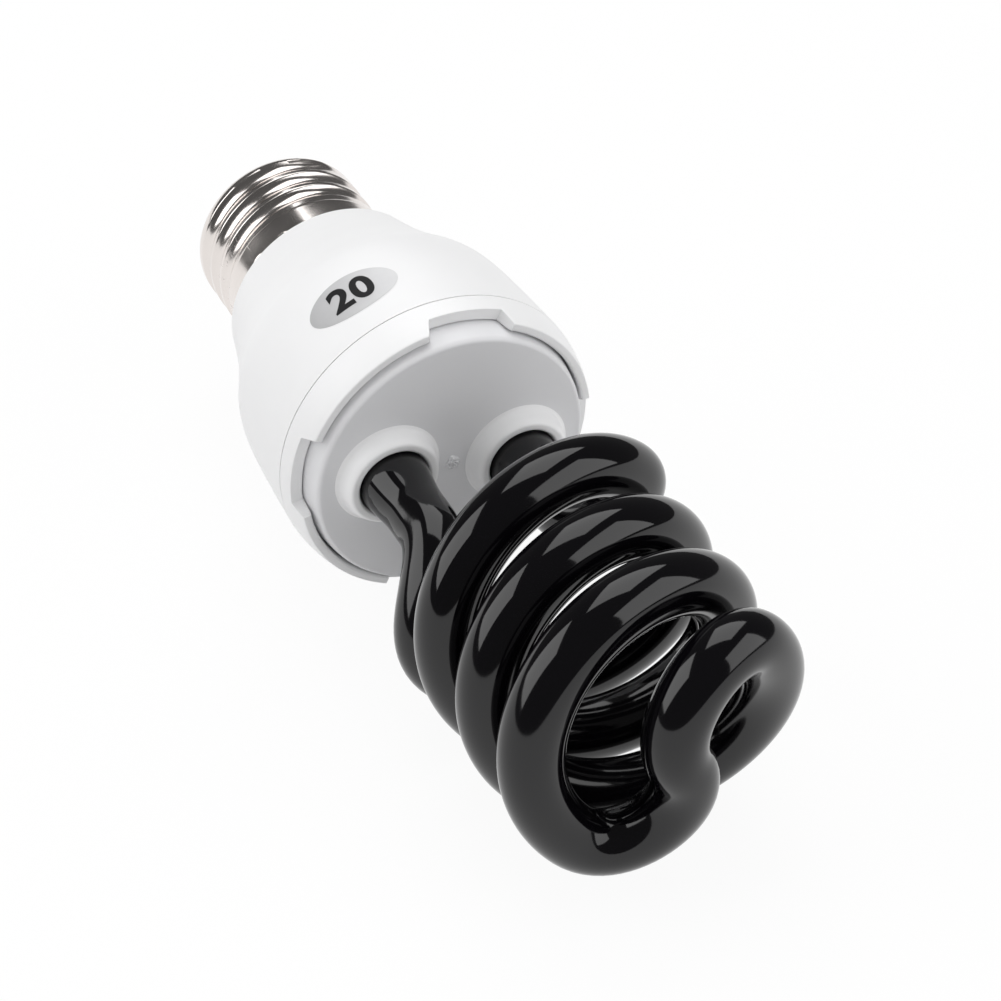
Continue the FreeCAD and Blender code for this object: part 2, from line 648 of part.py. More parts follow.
def neutral_wire():
    """The wire from the board out to the wall of the cap, past the end of the spigot."""
    level = SPIGOT_END - NEUTRAL_WIRE_BELOW_SPIGOT
    bend = NEUTRAL_WIRE_BEND
    slope = bend * (1 - math.sqrt(0.5))
    start = Vector(0, -NEUTRAL_WIRE_OFFSET, BOARD_BACK)
    corner = Vector(0, -NEUTRAL_WIRE_OFFSET, level + bend)
    middle = Vector(0, -NEUTRAL_WIRE_OFFSET - slope, level + slope)
    turn_end = Vector(0, -NEUTRAL_WIRE_OFFSET - bend, level)
    end = Vector(0, FIT_GAP / 2 - CAP_BORE_RADIUS, level)
    path = Part.Wire(lines(start, corner) + arc(corner, middle, turn_end) + lines(turn_end, end))
    section = Part.Wire(Part.makeCircle(NEUTRAL_WIRE_RADIUS, start, AXIS))
    return path.makePipeShell([section], True, False)


# How the lamp lies

def resting_tilt():
    """How far the free end dips until the coil meets what the housing's widest edge stands on."""
    down = Rotation(AXIS, 180 - LEG_TURN_FROM_UP).multVec(Vector(1, 0, 0))
    dips = []
    for turn in range(int(COIL_SWEEP)):
        point = coil_point(turn)
        # the other half of the coil is a half turn round the axis, so it has the opposite side
        drop = HOUSING_RADIUS - TUBE_RADIUS - abs(point.dot(down))
        dips.append(math.degrees(math.atan2(drop, point.z - SEAM - SEAM_CHAMFER)))
    return min(dips)


def lying_placement():
    """Turns the lamp's axis to +X with the legs nearly level, and dips its free end."""
    # the roll brings the upper side to -X, which lying down then turns up
    roll = Rotation(AXIS, 180 + LEG_TURN_FROM_UP)
    lie_down = Rotation(Vector(0, 1, 0), 90)
    dip = Rotation(Vector(0, 1, 0), resting_tilt())
    return Placement(Vector(0, 0, 0), dip.multiply(lie_down).multiply(roll))


def lamp():
    """Every piece by its name, round the lamp's own axis."""
    return {
        "screw_shell": [screw_shell()],
        "cap_insulator": [cap_insulator()],
        "centre_contact": [centre_contact()],
        "contact_solder": [contact_solder()],
        "upper_housing": [upper_housing()],
        "lock_ring": [lock_ring()],
        "tube_plate": [tube_plate()],
        "spiral_tube": [spiral_tube()],
        "tube_cement": tube_cement(),
        "tube_lead_wires": tube_lead_wires(),
        "circuit_board": [circuit_board()],
        "electrolytic_capacitor": [electrolytic_capacitor()],
        "choke_core": [choke_core()],
        "choke_winding": [choke_winding()],
        "toroid": [toroid()],
        "film_capacitors": film_capacitors(),
        "transistors": transistors(),
        "diodes": diodes(),
        "resistors": resistors(),
        "fuse_resistor": [fuse_resistor()],
        "live_wire": [live_wire()],
        "neutral_wire": [neutral_wire()],
    }


def settled(pieces):
    """The pieces laid down, with the lowest point at height 0 and the middle over the origin."""
    lying = lying_placement()
    laid = {}
    bounds = FreeCAD.BoundBox()
    for name, solids in pieces.items():
        shape = Part.Compound(solids) if len(solids) > 1 else solids[0]
        laid[name] = shape.transformed(lying.toMatrix())
        bounds.add(laid[name].optimalBoundingBox(False, False))
    move = Vector(-bounds.Center.x, -bounds.Center.y, -bounds.ZMin)
    return {name: shape.translated(move) for name, shape in laid.items()}


def main():
    """Writes one file for each piece."""
    os.makedirs("parts", exist_ok=True)
    for name, shape in settled(lamp()).items():
        shape.exportStep(os.path.join("parts", name + ".step"))


main()
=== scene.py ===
import math

import bmesh
import bpy
from mathutils import Matrix, Vector


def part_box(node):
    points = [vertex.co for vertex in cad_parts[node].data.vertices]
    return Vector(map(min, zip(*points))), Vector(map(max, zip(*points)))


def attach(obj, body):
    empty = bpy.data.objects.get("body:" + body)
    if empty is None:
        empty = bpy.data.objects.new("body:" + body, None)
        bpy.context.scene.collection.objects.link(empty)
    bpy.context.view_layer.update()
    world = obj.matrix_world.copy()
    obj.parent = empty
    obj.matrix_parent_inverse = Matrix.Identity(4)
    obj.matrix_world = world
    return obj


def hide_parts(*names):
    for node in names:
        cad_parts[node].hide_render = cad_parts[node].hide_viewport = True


bl_info = {
    "name": "Spiral Lamp",
    "version": (1, 0, 0),
    "blender": (4, 5, 0),
    "location": "View3D > Sidebar > Lamp",
    "description": "Dresses the frame of a spiral lamp with black glass, white plastic and nickel",
    "category": "Object",
}

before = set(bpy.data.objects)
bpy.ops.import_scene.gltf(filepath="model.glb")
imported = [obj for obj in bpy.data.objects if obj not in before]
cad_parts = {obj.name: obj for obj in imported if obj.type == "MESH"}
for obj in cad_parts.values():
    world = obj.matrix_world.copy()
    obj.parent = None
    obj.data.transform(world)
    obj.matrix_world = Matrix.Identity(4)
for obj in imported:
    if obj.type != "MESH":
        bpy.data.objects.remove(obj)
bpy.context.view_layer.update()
MM = 0.001

# The lamp's own axis runs from the cap to the free end. Heights are measured along it from
# the face of the tube plate, and angles round it from the leg that the lamp leans on.
LEG_TURN_FROM_UP = math.radians(80)
BOARD_MIDDLE_DEPTH = 14.8 * MM


class LampSizes(bpy.types.PropertyGroup):
    """Sizes of the dressed pieces."""
    glass_radius: bpy.props.FloatProperty(
        name="Glass radius", description="Radius of the spiral's tube",
        default=4.2 * MM, unit="LENGTH")
    leg_radius: bpy.props.FloatProperty(
        name="Leg radius", description="Radius of the tube at its feet",
        default=4.95 * MM, unit="LENGTH")
    cap_radius: bpy.props.FloatProperty(
        name="Cap radius", description="Radius of the screw cap's smooth skirt",
        default=13.2 * MM, unit="LENGTH")
    thread_pitch: bpy.props.FloatProperty(
        name="Thread pitch", description="Rise of the thread in one turn",
        default=3.629 * MM, unit="LENGTH")
    thread_depth: bpy.props.FloatProperty(
        name="Thread depth", description="Depth of the rolled groove",
        default=0.8 * MM, unit="LENGTH")
    print_width: bpy.props.FloatProperty(
        name="Print width", description="Width of the printed oval round the body",
        default=13.8 * MM, unit="LENGTH")
    print_height: bpy.props.FloatProperty(
        name="Print height", description="Height of the printed oval along the body",
        default=8.2 * MM, unit="LENGTH")
    number: bpy.props.IntProperty(
        name="Number", description="Plain number in the oval", default=20)


class LampColours(bpy.types.PropertyGroup):
    """Colours of the finishes."""
    plastic: bpy.props.FloatVectorProperty(
        name="Plastic", description="White moulded body",
        subtype="COLOR", default=(0.86, 0.86, 0.865))
    # The plate's colour is the body's white plastic darkened, a painted shade for its face turned
    # from the light; the pip takes it too
    plate: bpy.props.FloatVectorProperty(
        name="Plate", description="Moulded plate under the glass",
        subtype="COLOR", default=(0.75, 0.75, 0.765))
    glass: bpy.props.FloatVectorProperty(
        name="Glass", description="Black filter glass",
        subtype="COLOR", default=(0.0018, 0.0015, 0.0023))
    nickel: bpy.props.FloatVectorProperty(
        name="Nickel", description="Plated cap", subtype="COLOR", default=(0.82, 0.77, 0.74))
    insulator: bpy.props.FloatVectorProperty(
        name="Insulator", description="Glass plug in the cap",
        subtype="COLOR", default=(0.012, 0.011, 0.013))
    solder: bpy.props.FloatVectorProperty(
        name="Solder", description="Solder at the tip", subtype="COLOR", default=(0.72, 0.71, 0.70))
    print_ground: bpy.props.FloatVectorProperty(
        name="Print ground", description="Light end of the printed oval",
        subtype="COLOR", default=(0.70, 0.70, 0.71))
    print_ink: bpy.props.FloatVectorProperty(
        name="Print ink", description="Black of the number",
        subtype="COLOR", default=(0.006, 0.006, 0.007))


class StageSettings(bpy.types.PropertyGroup):
    """The floor, the soft lights and the camera."""
    floor_size: bpy.props.FloatProperty(
        name="Floor", description="Side of the square floor", default=30.0, unit="LENGTH")
    floor_colour: bpy.props.FloatVectorProperty(
        name="Floor colour", description="Pale floor", subtype="COLOR", default=(0.88, 0.88, 0.88))
    floor_glow: bpy.props.FloatProperty(
        name="Floor glow", description="Share of the floor's white that shadows don't reach",
        default=0.93)
    room_light: bpy.props.FloatProperty(
        name="Room light", description="Dim light of the room round the stage", default=0.09)
    box_distance: bpy.props.FloatProperty(
        name="Light distance", description="From the lamp to each soft light",
        default=1.2, unit="LENGTH")
    box_side: bpy.props.FloatProperty(
        name="Light side", description="Side of each soft light", default=0.95, unit="LENGTH")
    camera_place: bpy.props.FloatVectorProperty(
        name="Camera place", description="Where the camera stands",
        subtype="TRANSLATION", unit="LENGTH",
        default=(0.267451, -0.125063, 0.260482))
    camera_turn: bpy.props.FloatVectorProperty(
        name="Camera turn", description="How the camera is turned",
        subtype="EULER", unit="ROTATION",
        default=(math.radians(50.4316), math.radians(0.494), math.radians(63.3868)))
    camera_lens: bpy.props.FloatProperty(
        name="Camera lens", description="Focal length in millimetres on a 36 mm sensor",
        default=100.7)


# Where the lamp lies

def box_middle(node):
    """The middle of a node's box, which is on the axis for a piece that is even about it."""
    low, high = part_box(node)
    return (low + high) / 2


def lamp_matrix():
    """Turns the lamp's own frame, with its axis along Z, into the row frame."""
    board = box_middle("circuit_board")
    axis = (board - box_middle("live_wire")).normalized()
    up = Vector((0, 0, 1))
    up = (up - axis * up.dot(axis)).normalized()
    leg = Matrix.Rotation(LEG_TURN_FROM_UP, 3, axis) @ up
    across = axis.cross(leg)
    matrix = Matrix((leg, across, axis)).transposed().to_4x4()
    matrix.translation = board + axis * BOARD_MIDDLE_DEPTH
    return matrix


# Mesh tools

# A rounding takes at most this share of the sides next to it
SIDE_SHARE = 0.45


def ring_points(radius, height, steps, turn=0.0):
    """A level ring of points round the lamp's axis."""
    angles = [turn + 2 * math.pi * i / steps for i in range(steps)]
    return [Vector((radius * math.cos(a), radius * math.sin(a), height)) for a in angles]


def skin(name, rings, capped=(False, False), joined=False):
    """A smooth mesh through closed rings of points, each with as many points."""
    shape = bmesh.new()
    rows = [[shape.verts.new(point) for point in ring] for ring in rings]
    pairs = list(zip(rows, rows[1:]))
    if joined:
        pairs.append((rows[-1], rows[0]))
    for low, high in pairs:
        for i in range(len(low)):
            j = (i + 1) % len(low)
            shape.faces.new((low[i], low[j], high[j], high[i]))
    if capped[0]:
        shape.faces.new(list(reversed(rows[0])))
    if capped[1]:
        shape.faces.new(rows[-1])
    return place_mesh(name, shape)


def place_mesh(name, shape, sharp_angle=38):
    """Lays a mesh built round the lamp's axis where the lamp lies, as a riding piece."""
    bmesh.ops.recalc_face_normals(shape, faces=shape.faces)
    shape.transform(lamp_matrix())
    mesh = bpy.data.meshes.new(name)
    shape.to_mesh(mesh)
    shape.free()
    mesh.shade_smooth()
    mesh.set_sharp_from_angle(angle=math.radians(sharp_angle))
    piece = bpy.data.objects.new(name, mesh)
    bpy.context.scene.collection.objects.link(piece)
    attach(piece, "root")
    return piece


def section(corners):
    """An outline from corners written as radius and height in millimetres."""
    return [Vector((radius * MM, height * MM)) for radius, height in corners]


def rounded(points, radius, steps=4):
    """An outline with each of its inner corners cut round."""
    outline = [points[0]]
    for before, corner, after in zip(points, points[1:], points[2:]):
        back, ahead = before - corner, after - corner
        reach = min(radius, back.length * SIDE_SHARE, ahead.length * SIDE_SHARE)
        start = corner + back.normalized() * reach
        end = corner + ahead.normalized() * reach
        for i in range(steps + 1):
            t = i / steps
            outline.append(start * (1 - t) ** 2 + corner * 2 * t * (1 - t) + end * t * t)
    return outline + [points[-1]]


def through(points, steps):
    """A smooth outline through the points."""
    outline = []
    spaced = [points[0] * 2 - points[1]] + list(points) + [points[-1] * 2 - points[-2]]
    for a, b, c, d in zip(spaced, spaced[1:], spaced[2:], spaced[3:]):
        for i in range(steps):
            t = i / steps
            square = (a * 2 - b * 5 + c * 4 - d) * t * t
            cube = (b * 3 - a - c * 3 + d) * t**3
            outline.append((b * 2 + (c - a) * t + square + cube) / 2)
    return outline + [points[-1]]


def turned(name, outline, steps, joined=True):
    """A mesh turned round the lamp's axis from an outline of radius and height."""
    rings = [ring_points(point.x, point.y, steps) for point in outline]
    return skin(name, rings, joined=joined)


def dress(piece, material):
    """Gives a new piece its material, and the record's slot that it stands for."""
    piece.data.materials.append(material)


def dress_node(node, material):
    """Gives a node of the frame a better material."""
    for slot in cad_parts[node].material_slots:
        slot.material = material


# Shared effects

def new_group(name, inputs, outputs):
    """An empty shader group with number inputs, each with its usual value, and outputs."""
    group = bpy.data.node_groups.new(name, "ShaderNodeTree")
    for label, value in inputs:
        socket = group.interface.new_socket(label, in_out="INPUT", socket_type="NodeSocketFloat")
        socket.default_value = value
    for label in outputs:
        group.interface.new_socket(label, in_out="OUTPUT", socket_type="NodeSocketFloat")
    return group, group.nodes.new("NodeGroupInput"), group.nodes.new("NodeGroupOutput")


def add_noise(tree, coordinates, scale, detail=4.0, roughness=0.55):
    """A noise texture; the scale is a number or a socket."""
    noise = tree.nodes.new("ShaderNodeTexNoise")
    noise.inputs["Detail"].default_value = detail
    noise.inputs["Roughness"].default_value = roughness
    tree.links.new(coordinates, noise.inputs["Vector"])
    if isinstance(scale, (int, float)):
        noise.inputs["Scale"].default_value = scale
    else:
        tree.links.new(scale, noise.inputs["Scale"])
    return noise.outputs["Fac"]


def add_range(tree, value, low, high, to_low, to_high):
    """Maps one range of values to another, cut off at its ends."""
    remap = tree.nodes.new("ShaderNodeMapRange")
    ends = (("From Min", low), ("From Max", high), ("To Min", to_low), ("To Max", to_high))
    for label, number in ends:
        if isinstance(number, (int, float)):
            remap.inputs[label].default_value = number
        else:
            tree.links.new(number, remap.inputs[label])
    tree.links.new(value, remap.inputs["Value"])
    return remap.outputs["Result"]


def add_maths(tree, operation, first, second):
    """One sum of two values, each a number or a socket."""
    node = tree.nodes.new("ShaderNodeMath")
    node.operation = operation
    for socket, value in zip(node.inputs, (first, second)):
        if isinstance(value, (int, float)):
            socket.default_value = value
        else:
            tree.links.new(value, socket)
    return node.outputs["Value"]


def grain_group():
    """Fine moulded texture with slow cloudy unevenness."""
    group, taken, given = new_group(
        "Moulded grain", [("Scale", 2600.0), ("Cloud Scale", 60.0)], ["Height", "Cloud"])
    place = group.nodes.new("ShaderNodeTexCoord").outputs["Object"]
    fine = add_noise(group, place, taken.outputs["Scale"], 6.0)
    cloud = add_noise(group, place, taken.outputs["Cloud Scale"], 3.0)
    group.links.new(fine, given.inputs["Height"])
    group.links.new(cloud, given.inputs["Cloud"])
    return group


def scratch_group():
    """Sparse hair scratches and rubbed specks from handling."""
    group, taken, given = new_group(
        "Handling marks", [("Scale", 140.0), ("Amount", 0.5)], ["Mask"])
    place = group.nodes.new("ShaderNodeTexCoord").outputs["Object"]
    stretch = group.nodes.new("ShaderNodeMapping")
    stretch.inputs["Rotation"].default_value = (0.4, 0.9, 0.3)
    stretch.inputs["Scale"].default_value = (1.0, 14.0, 5.0)
    group.links.new(place, stretch.inputs["Vector"])
    hairs = add_noise(group, stretch.outputs["Vector"], taken.outputs["Scale"], 2.0)
    line = add_range(group, hairs, 0.64, 0.70, 0.0, 1.0)
    patches = add_noise(group, place, 45.0, 2.0)
    where = add_range(group, patches, 0.5, 0.65, 0.0, 1.0)
    both = add_maths(group, "MULTIPLY", line, where)
    mask = add_maths(group, "MULTIPLY", both, taken.outputs["Amount"])
    group.links.new(mask, given.inputs["Mask"])
    return group


def shared(name, maker):
    """The shared group of that name, made once."""
    return bpy.data.node_groups.get(name) or maker()


def add_group(tree, group, **values):
    """Places a shared group with this material's own values."""
    node = tree.nodes.new("ShaderNodeGroup")
    node.node_tree = group
    for label, value in values.items():
        node.inputs[label.replace("_", " ")].default_value = value
    return node


def add_grain(tree, scale, cloud_scale):
    """The shared grain and clouding at this material's scales."""
    group = shared("Moulded grain", grain_group)
    return add_group(tree, group, Scale=scale, Cloud_Scale=cloud_scale)


def add_marks(tree, scale, amount):
    """The shared handling marks, as strong as this material shows them."""
    return add_group(tree, shared("Handling marks", scratch_group), Scale=scale, Amount=amount)


def new_finish(name, colour, roughness, metallic=0.0):
    """A material with one main shader and its constant values."""
    material = bpy.data.materials.new(name)
    material.use_nodes = True
    tree = material.node_tree
    shader = tree.nodes["Principled BSDF"]
    shader.inputs["Base Color"].default_value = (*colour, 1.0)
    shader.inputs["Roughness"].default_value = roughness
    shader.inputs["Metallic"].default_value = metallic
    return material, tree, shader


def tint(tree, shader, mask, dark, light):
    """Lets the base colour vary between two colours."""
    mix = tree.nodes.new("ShaderNodeMix")
    mix.data_type = "RGBA"
    mix.inputs["A"].default_value = (*dark, 1.0)
    mix.inputs["B"].default_value = (*light, 1.0)
    tree.links.new(mask, mix.inputs["Factor"])
    tree.links.new(mix.outputs["Result"], shader.inputs["Base Color"])


def roughen(tree, shader, rough, marks=None):
    """Lets the roughness vary, and adds the handling marks where there are any."""
    if marks:
        rough = add_maths(tree, "ADD", rough, marks.outputs["Mask"])
    tree.links.new(rough, shader.inputs["Roughness"])


def bump(tree, shader, height, strength, distance):
    """Raises the surface a little by a height."""
    node = tree.nodes.new("ShaderNodeBump")
    node.inputs["Strength"].default_value = strength
    node.inputs["Distance"].default_value = distance
    tree.links.new(height, node.inputs["Height"])
    tree.links.new(node.outputs["Normal"], shader.inputs["Normal"])


def scaled(colour, factor):
    """A lighter or darker copy of a colour."""
    return tuple(min(channel * factor, 1.0) for channel in colour)


# Finishes

def satin_plastic(name, colour, roughness=0.42):
    """Moulded plastic: fine grain, slow clouding and a few rubbed marks."""
    material, tree, shader = new_finish(name, colour, roughness)
    grain = add_grain(tree, 2600.0, 70.0)
    marks = add_marks(tree, 170.0, 0.25)
    tint(tree, shader, grain.outputs["Cloud"], scaled(colour, 0.975), scaled(colour, 1.02))
    rough = add_range(tree, grain.outputs["Cloud"], 0.3, 0.7, roughness - 0.04, roughness + 0.05)
    roughen(tree, shader, rough, marks)
    bump(tree, shader, grain.outputs["Height"], 0.12, 0.00003)
    return material


def filter_glass(colour):
    """Polished black glass, drawn slightly uneven, with faint smears."""
    material, tree, shader = new_finish("filter_glass", colour, 0.04)
    shader.inputs["IOR"].default_value = 1.51
    drawn = add_grain(tree, 240.0, 34.0)
    marks = add_marks(tree, 260.0, 0.10)
    tint(tree, shader, drawn.outputs["Cloud"], scaled(colour, 0.7), scaled(colour, 1.4))
    smear = add_range(tree, drawn.outputs["Cloud"], 0.35, 0.7, 0.05, 0.12)
    roughen(tree, shader, smear, marks)
    bump(tree, shader, drawn.outputs["Height"], 0.035, 0.00012)
    return material


def nickel_plate(name, colour, roughness=0.16):
    """Rolled nickel: soft streaks, fine scratches and a dull bloom in places."""
    material, tree, shader = new_finish(name, colour, roughness, 1.0)
    grain = add_grain(tree, 900.0, 90.0)
    marks = add_marks(tree, 240.0, 0.35)
    tint(tree, shader, grain.outputs["Cloud"], scaled(colour, 0.88), scaled(colour, 1.08))
    rough = add_range(tree, grain.outputs["Cloud"], 0.3, 0.75, roughness - 0.05, roughness + 0.10)
    roughen(tree, shader, rough, marks)
    bump(tree, shader, grain.outputs["Height"], 0.10, 0.00004)
    return material


def cap_glass(colour):
    """The insulator's cast glass: glossy with flow marks."""
    material, tree, shader = new_finish("cap_glass", colour, 0.16)
    flow = add_grain(tree, 420.0, 120.0)
    tint(tree, shader, flow.outputs["Cloud"], scaled(colour, 0.6), scaled(colour, 1.6))
    roughen(tree, shader, add_range(tree, flow.outputs["Cloud"], 0.3, 0.7, 0.1, 0.28))
    bump(tree, shader, flow.outputs["Height"], 0.3, 0.0001)
    return material


def worked_finish(name, colour, roughness, metallic, scale):
    """A plain technical finish with its own grain and tone."""
    material, tree, shader = new_finish(name, colour, roughness, metallic)
    grain = add_grain(tree, scale, scale / 12)
    tint(tree, shader, grain.outputs["Cloud"], scaled(colour, 0.8), scaled(colour, 1.2))
    rough = add_range(tree, grain.outputs["Cloud"], 0.3, 0.7, roughness * 0.85, roughness * 1.15)
    roughen(tree, shader, rough)
    bump(tree, shader, grain.outputs["Height"], 0.3, 0.00006)
    return material


# The glass spiral

LEG_PLACE = 9.8 * MM
LEG_FOOT = -10.0 * MM
LEG_TAPER_START = 1.5 * MM
LEG_TAPER_END = 9.0 * MM
LEG_STRAIGHT_END = 12.2 * MM
COIL_START_RADIUS = 17.8 * MM
COIL_RADIUS = 16.5 * MM
COIL_START = math.radians(52.5)
COIL_SWEEP = math.radians(538.7)
COIL_LEAD = 22.7 * MM
COIL_TOP = 58.44 * MM
BRIDGE_HEIGHT = 63.1 * MM
BRIDGE_ANGLE = math.radians(127.2)
LEG_REACH = 8.15 * MM
COIL_REACH_IN = 8.52 * MM
COIL_REACH_OUT = 9.06 * MM
BRIDGE_REACH = 8.82 * MM
FOOT_ROUND = 1.2 * MM
HEADING_STEP = 0.001
LEG_STEPS = 36
BEND_STEPS = 26
COIL_STEPS = 170
TUBE_COLUMNS = 44


def ease(t):
    """Runs smoothly from 0 to 1."""
    t = min(max(t, 0.0), 1.0)
    return t * t * (3 - 2 * t)


def coil_point(turn):
    """A point of the coil's centre line at an angle from its start."""
    radius = COIL_START_RADIUS + (COIL_RADIUS - COIL_START_RADIUS) * ease(turn / math.pi)
    height = COIL_TOP + COIL_LEAD * (turn - COIL_SWEEP) / (2 * math.pi)
    angle = COIL_START + turn
    return Vector((radius * math.cos(angle), radius * math.sin(angle), height))


def coil_heading(turn):
    """The direction of the centre line there."""
    return (coil_point(turn + HEADING_STEP) - coil_point(turn - HEADING_STEP)).normalized()


def bend_points(a, b, c, d, count):
    """Points on the smooth bend from a to d, without its last."""
    shares = [i / count for i in range(count)]
    return [a * (1 - t)**3 + b * 3 * (1 - t)**2 * t + c * 3 * (1 - t) * t * t + d * t**3
            for t in shares]


def glass_route():
    """The centre line from foot to foot."""
    foot = Vector((LEG_PLACE, 0, LEG_FOOT))
    leg_top = Vector((LEG_PLACE, 0, LEG_STRAIGHT_END))
    start = coil_point(0)
    end = coil_point(COIL_SWEEP)
    middle = Vector((0, 0, BRIDGE_HEIGHT))
    bridge = Vector((math.cos(BRIDGE_ANGLE), math.sin(BRIDGE_ANGLE), 0))
    up = Vector((0, 0, 1))
    half = [foot.lerp(leg_top, i / LEG_STEPS) for i in range(LEG_STEPS)]
    half += bend_points(leg_top, leg_top + up * LEG_REACH,
                        start - coil_heading(0) * COIL_REACH_IN, start, BEND_STEPS)
    half += [coil_point(COIL_SWEEP * i / COIL_STEPS) for i in range(COIL_STEPS)]
    half += bend_points(end, end + coil_heading(COIL_SWEEP) * COIL_REACH_OUT,
                        middle - bridge * BRIDGE_REACH, middle, BEND_STEPS)
    other = [Vector((-point.x, -point.y, point.z)) for point in reversed(half)]
    return half + [middle] + other


def glass_radius_at(height, sizes):
    """The tube is thicker in its legs, and closed round at its feet."""
    share = (height - LEG_TAPER_START) / (LEG_TAPER_END - LEG_TAPER_START)
    radius = sizes.leg_radius + (sizes.glass_radius - sizes.leg_radius) * ease(share)
    above_foot = (height - LEG_FOOT) / FOOT_ROUND
    if above_foot < 1:
        radius -= FOOT_ROUND * (1 - math.sqrt(max(1 - (1 - above_foot)**2, 0)))
    return radius


def tube_rings(route, sizes, columns):
    """Rings of points round the centre line, carried along it without twist."""
    rings = []
    side = Vector((1, 0, 0))
    for i, point in enumerate(route):
        heading = (route[min(i + 1, len(route) - 1)] - route[max(i - 1, 0)]).normalized()
        side = (side - heading * side.dot(heading)).normalized()
        across = heading.cross(side)
        radius = glass_radius_at(point.z, sizes)
        angles = [2 * math.pi * k / columns for k in range(columns)]
        rings.append([point + (side * math.cos(a) + across * math.sin(a)) * radius for a in angles])
    return rings


class LAMP_OT_glass_spiral(bpy.types.Operator):
    """Makes the sealed double spiral of black glass"""
    bl_idname = "lamp.glass_spiral"
    bl_label = "Glass Spiral"

    def execute(self, context):
        sizes = context.scene.lamp_sizes
        rings = tube_rings(glass_route(), sizes, TUBE_COLUMNS)
        piece = skin("glass_spiral", rings, capped=(True, True))
        dress(piece, filter_glass(context.scene.lamp_colours.glass))
        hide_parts("spiral_tube")
        return {"FINISHED"}


# The screw cap

NECK = -40.9 * MM
SKIRT_END = -46.9 * MM
STEP_HEIGHT = 0.5 * MM
CREST_SET_BACK = 0.17 * MM
DOME_TOP = -58.4 * MM
MOUTH = -61.1 * MM
MOUTH_RADIUS = 10.4 * MM
CAP_WALL = 0.3 * MM
GROOVE_ROUND = 1.7 * MM
CREST_ROUND = 0.14 * MM
THREAD_START = math.radians(235)
THREAD_FOOT = -57.68 * MM
THREAD_SWEEP = math.radians(900)
THREAD_FADE = math.radians(24)
STAKE_ANGLES = (math.radians(-32.2), math.radians(-53.8))
STAKE_BELOW_NECK = 1.6 * MM
STAKE_HALF_WIDTH = 1.0 * MM
STAKE_HALF_HEIGHT = 1.3 * MM
STAKE_DEPTH = 0.7 * MM
DOME_STEPS = 14
CAP_ROWS_OUTSIDE = 170
CAP_ROWS_INSIDE = 60
CAP_COLUMNS = 200


def blended_top(first, second, width):
    """The larger of two values, with a soft change from one to the other."""
    share = min(max(0.5 + 0.5 * (first - second) / width, 0.0), 1.0)
    return second + (first - second) * share + width * share * (1 - share)


def thread_sink(height, angle, sizes):
    """How far the rolled groove draws the wall in, fading out at both ends."""
    rise = sizes.thread_pitch / (2 * math.pi)
    on = (angle - THREAD_START) % (2 * math.pi)
    on += 2 * math.pi * round((height - THREAD_FOOT - rise * on) / sizes.thread_pitch)
    off = height - THREAD_FOOT - rise * on
    deep = math.sqrt(max(GROOVE_ROUND**2 - off**2, 0.0)) - GROOVE_ROUND + sizes.thread_depth
    fade = ease(on / THREAD_FADE) * ease((THREAD_SWEEP - on) / THREAD_FADE)
    return blended_top(deep, 0.0, CREST_ROUND) * fade


def stake_sink(height, angle, sizes):
    """Small punched dents at the housing's edge that lock the cap to it."""
    sink = 0.0
    below = height - NECK + STAKE_BELOW_NECK
    for stake in STAKE_ANGLES:
        away = abs((angle - stake + math.pi) % (2 * math.pi) - math.pi) * sizes.cap_radius
        near = math.hypot(away / STAKE_HALF_WIDTH, below / STAKE_HALF_HEIGHT)
        sink = max(sink, STAKE_DEPTH * (1 - ease(near)))
    return sink


def cap_profile(sizes, inset, rows):
    """The wall's radius and height without thread or dents, from the neck to the mouth."""
    profile = []
    for i in range(rows + 1):
        height = NECK + (DOME_TOP - NECK) * i / rows
        step = ease((SKIRT_END - height) / STEP_HEIGHT)
        profile.append((sizes.cap_radius - inset - CREST_SET_BACK * step, height))
    crest = sizes.cap_radius - inset - CREST_SET_BACK
    for i in range(1, DOME_STEPS + 1):
        t = math.pi / 2 * i / DOME_STEPS
        radius = MOUTH_RADIUS + (crest - MOUTH_RADIUS) * math.cos(t)
        profile.append((radius, DOME_TOP + (MOUTH + inset - DOME_TOP) * math.sin(t)))
    return profile


def cap_rings(sizes, inset, rows, columns):
    """Rings of the cap's wall from the housing's neck down to the rolled mouth."""
    rings = []
    for plain, height in cap_profile(sizes, inset, rows):
        ring = []
        for k in range(columns):
            angle = 2 * math.pi * k / columns
            radius = plain - thread_sink(height, angle, sizes) - stake_sink(height, angle, sizes)
            ring.append(Vector((radius * math.cos(angle), radius * math.sin(angle), height)))
        rings.append(ring)
    return rings


class LAMP_OT_threaded_cap(bpy.types.Operator):
    """Makes the plated shell with its rolled thread"""
    bl_idname = "lamp.threaded_cap"
    bl_label = "Threaded Cap"

    def execute(self, context):
        sizes = context.scene.lamp_sizes
        outside = cap_rings(sizes, 0.0, CAP_ROWS_OUTSIDE, CAP_COLUMNS)
        inside = cap_rings(sizes, CAP_WALL, CAP_ROWS_INSIDE, CAP_COLUMNS)
        piece = skin("threaded_cap", outside + inside[::-1], joined=True)
        dress(piece, nickel_plate("nickel_plate", context.scene.lamp_colours.nickel))
        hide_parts("screw_shell")
        return {"FINISHED"}


# The housing

SEAM = -6.35 * MM
HOUSING_RADIUS = 22.69 * MM
# Radius and height in millimetres, from the kink to the seam
SHOULDER = ((16.75, -35.75), (18.2, -31.41), (20.0, -27.05), (21.25, -24.05),
            (21.9, -20.0), (22.4, -13.0), (22.69, -6.65))
SHOULDER_STEPS = 14
BODY_COLUMNS = 180
NECK_RADIUS = 15.4 * MM
HOUSING_WALL = 1.5 * MM
SPIGOT_RADIUS = 12.8 * MM
SPIGOT_BORE_RADIUS = 11.3 * MM
SPIGOT_END = -45.3 * MM
